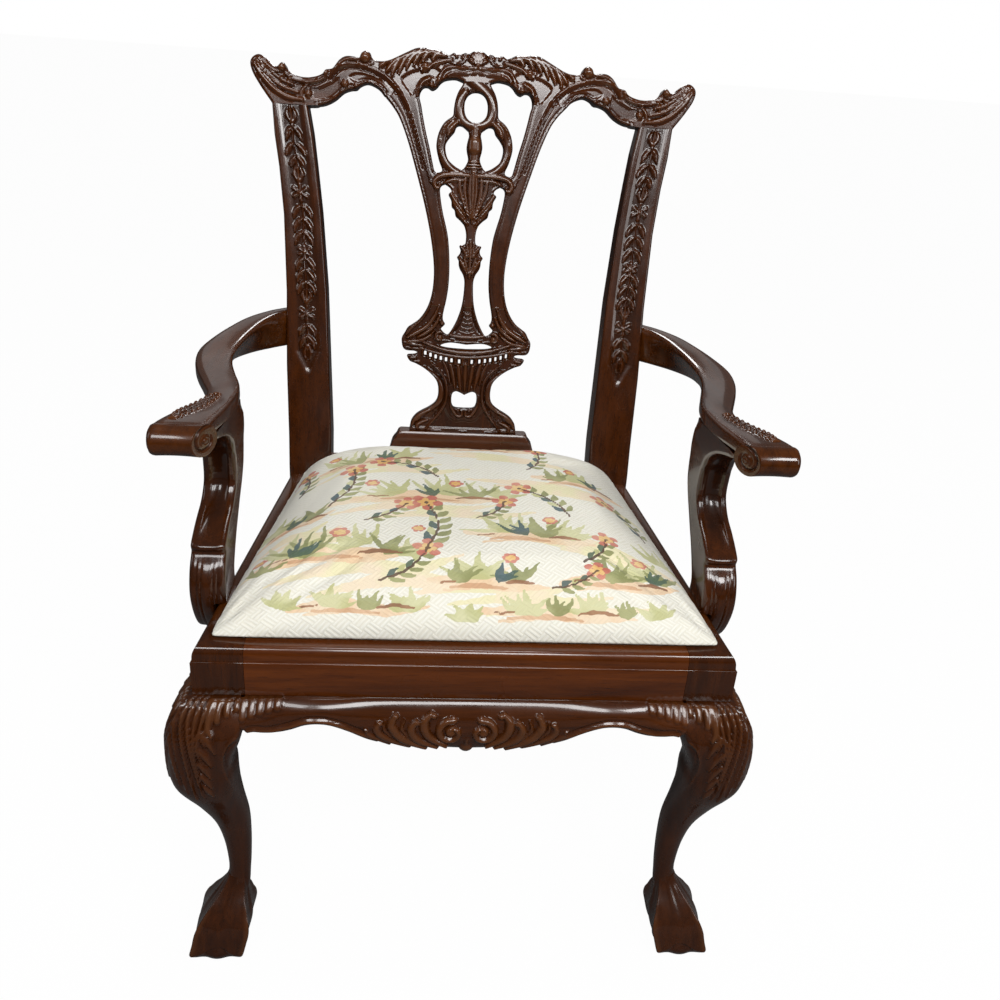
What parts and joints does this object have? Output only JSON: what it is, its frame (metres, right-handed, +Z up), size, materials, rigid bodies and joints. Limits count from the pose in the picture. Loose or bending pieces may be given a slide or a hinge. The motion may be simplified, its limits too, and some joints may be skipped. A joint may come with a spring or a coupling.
{
  "type": "open armchair",
  "caption": "Carved wooden open armchair with a pierced splat, scrolled arms, cabriole front legs on ball-and-claw feet and a drop-in upholstered seat.",
  "frame": {"origin": "on the floor under the middle of the chair's box", "axes": "+Z up, -Y towards the front, where the sitter faces, +X to the right as seen from the front"},
  "size_m": [0.6816, 0.6216, 1.018],
  "materials": {
    "mahogany": "glossy dark red-brown polish, worn lighter on the edges",
    "beech": "bare planed hardwood",
    "screw_steel": "dull zinc-plated steel",
    "webbing": "twill jute webbing",
    "hessian": "open plain-weave jute",
    "stuffing": "undyed calico over stuffing",
    "seat_fabric": "cream figured weave with a printed foliage pattern",
    "dust_cloth": "thin black cambric"
  },
  "bodies": {
    "frame": {"rear_post_left": "mahogany", "rear_post_right": "mahogany", "crest_rail": "mahogany", "splat": "mahogany", "shoe": "mahogany", "rear_rail": "mahogany", "side_rail_left": "mahogany", "side_rail_right": "mahogany", "front_rail": "mahogany", "front_apron": "mahogany", "knee_bracket_left": "mahogany", "knee_bracket_right": "mahogany", "front_leg_left": "mahogany", "front_leg_right": "mahogany", "arm_left": "mahogany", "arm_right": "mahogany", "arm_support_left": "mahogany", "arm_support_right": "mahogany", "corner_blocks": "beech", "corner_block_screws": "screw_steel", "support_screws": "screw_steel", "arm_screws": "screw_steel", "screw_plugs": "mahogany"},
    "drop_in_seat": {"slip_front_rail": "beech", "slip_rear_rail": "beech", "slip_side_rail_left": "beech", "slip_side_rail_right": "beech", "webbing_lengthwise": "webbing", "webbing_crosswise": "webbing", "hessian": "hessian", "seat_pad": "stuffing", "seat_cover": "seat_fabric", "dust_cover": "dust_cloth"}
  },
  "joints": [
    {"name": "seat_lift", "type": "slide", "parent": "frame", "child": "drop_in_seat", "axis": [0, 0, 1], "range_m": [0, 0.09]}
  ]
}
